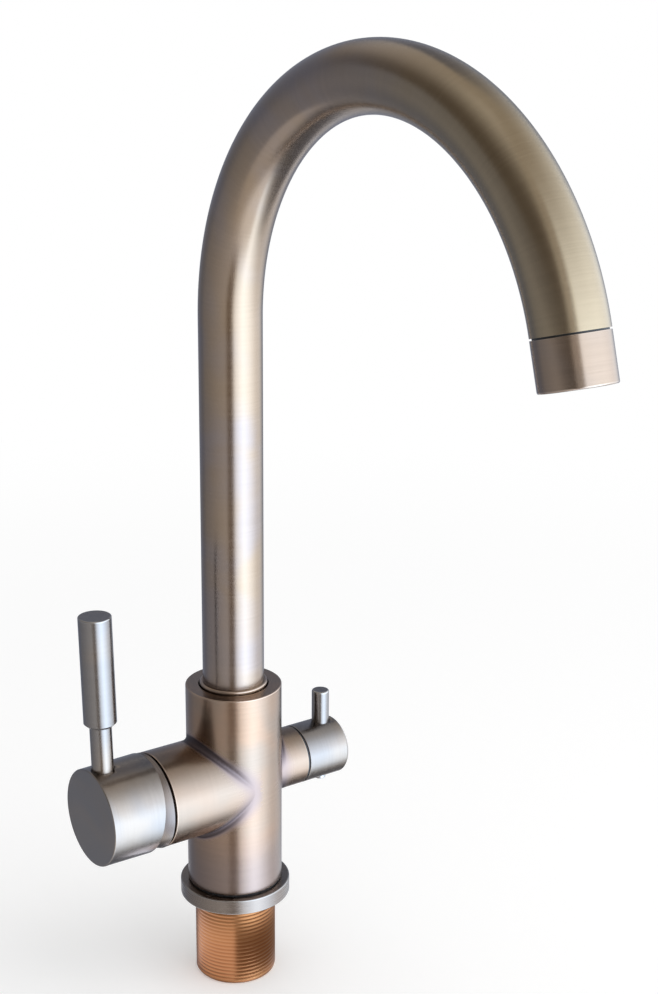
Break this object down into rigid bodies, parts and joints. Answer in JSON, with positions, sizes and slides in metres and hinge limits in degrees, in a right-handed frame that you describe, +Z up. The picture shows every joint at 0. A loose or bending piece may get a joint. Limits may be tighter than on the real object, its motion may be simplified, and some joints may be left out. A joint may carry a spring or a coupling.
{
  "type": "drinking water filter tap",
  "caption": "Swan-neck kitchen mixer tap with a swivel spout, a joystick mixing handle on one side branch and a quarter-turn filtered water knob on the other.",
  "frame": {"origin": "centre of the base ring's underside, where the tap stands on the worktop, on the barrel's axis", "axes": "+Z up along the barrel; -Y the way the spout reaches at rest; -X towards the mixing handle; +X towards the filtered water knob"},
  "size_m": [0.1217, 0.2304, 0.3957],
  "materials": {
    "bronze_brass": "fine circular brushing over a warm bronze-champagne plated brass",
    "champagne_tube": "brushed champagne plating over a bent brass tube",
    "nozzle_plating": "satin champagne plating over turned brass",
    "nickel_handle": "brushed nickel plating over turned brass",
    "ring_nickel": "brushed nickel plating over turned brass",
    "bare_brass": "machined, bare",
    "shank_copper": "machined red brass, bare",
    "ceramic_white": "lapped",
    "cartridge_plastic": "moulded",
    "black_plastic": "moulded",
    "bush_plastic": "moulded, slippery",
    "seal_rubber": "moulded rubber",
    "filter_hose": "extruded food-grade tube",
    "spring_steel": "stainless spring wire, flattened",
    "screw_steel": "stainless",
    "aerator_plastic": "moulded",
    "mesh_steel": "etched stainless sheet"
  },
  "bodies": {
    "body": {"body_casting": "bronze_brass", "base_ring": "ring_nickel", "base_gasket": "seal_rubber", "body_seal_ring": "seal_rubber", "threaded_shank": "shank_copper", "swivel_bush": "bush_plastic", "spout_snap_ring": "spring_steel", "cartridge_housing": "cartridge_plastic", "cartridge_base": "cartridge_plastic", "cartridge_port_seals": "seal_rubber", "fixed_disc": "ceramic_white", "cartridge_lock_nut": "bare_brass", "dome_ring": "bronze_brass", "filter_valve_housing": "bare_brass", "filter_valve_seal": "seal_rubber", "filter_fixed_disc": "ceramic_white", "filter_trim_ring": "black_plastic"},
    "spout": {"spout_tube": "champagne_tube", "spout_foot": "bronze_brass", "spout_o_rings": "seal_rubber", "filter_tube": "filter_hose", "filter_tube_plug": "bare_brass", "plug_o_ring": "seal_rubber", "nozzle_adapter": "black_plastic", "nozzle_shell": "nozzle_plating", "nozzle_washer": "seal_rubber", "aerator_insert": "aerator_plastic", "aerator_mesh": "mesh_steel"},
    "turret": {"cartridge_turret": "cartridge_plastic", "pivot_pin": "screw_steel"},
    "mixer_handle": {"lever_stem": "bare_brass", "handle_cap": "nickel_handle", "mixer_lever": "nickel_handle", "handle_grub_screw": "screw_steel"},
    "mixing_disc": {"moving_disc": "ceramic_white", "disc_carrier": "cartridge_plastic"},
    "filter_handle": {"filter_spindle": "bare_brass", "filter_moving_disc": "ceramic_white", "filter_knob": "nickel_handle", "filter_pin_lever": "nickel_handle", "filter_knob_screw": "screw_steel", "spindle_o_ring": "seal_rubber"}
  },
  "joints": [
    {"name": "spout_swivel", "type": "hinge", "parent": "body", "child": "spout", "pos_m": [0, 0, 0.0834], "axis": [0, 0, 1], "continuous": true},
    {"name": "mixer_temperature", "type": "hinge", "parent": "body", "child": "turret", "pos_m": [-0.034, 0, 0.0532], "axis": [1, 0, 0], "range_deg": [-45, 45]},
    {"name": "mixer_flow", "type": "hinge", "parent": "turret", "child": "mixer_handle", "pos_m": [-0.042, 0, 0.0532], "axis": [0, -1, 0], "range_deg": [0, 20]},
    {"name": "disc_travel", "type": "slide", "parent": "turret", "child": "mixing_disc", "axis": [0, 0, 1], "range_m": [0, 0.00425]},
    {"name": "filter_quarter_turn", "type": "hinge", "parent": "body", "child": "filter_handle", "pos_m": [0.0405, 0, 0.0547], "axis": [1, 0, 0], "range_deg": [0, 90]}
  ],
  "couplings": [
    {"joint": "disc_travel", "follows": "mixer_flow", "m_per_rad": 0.01215}
  ]
}
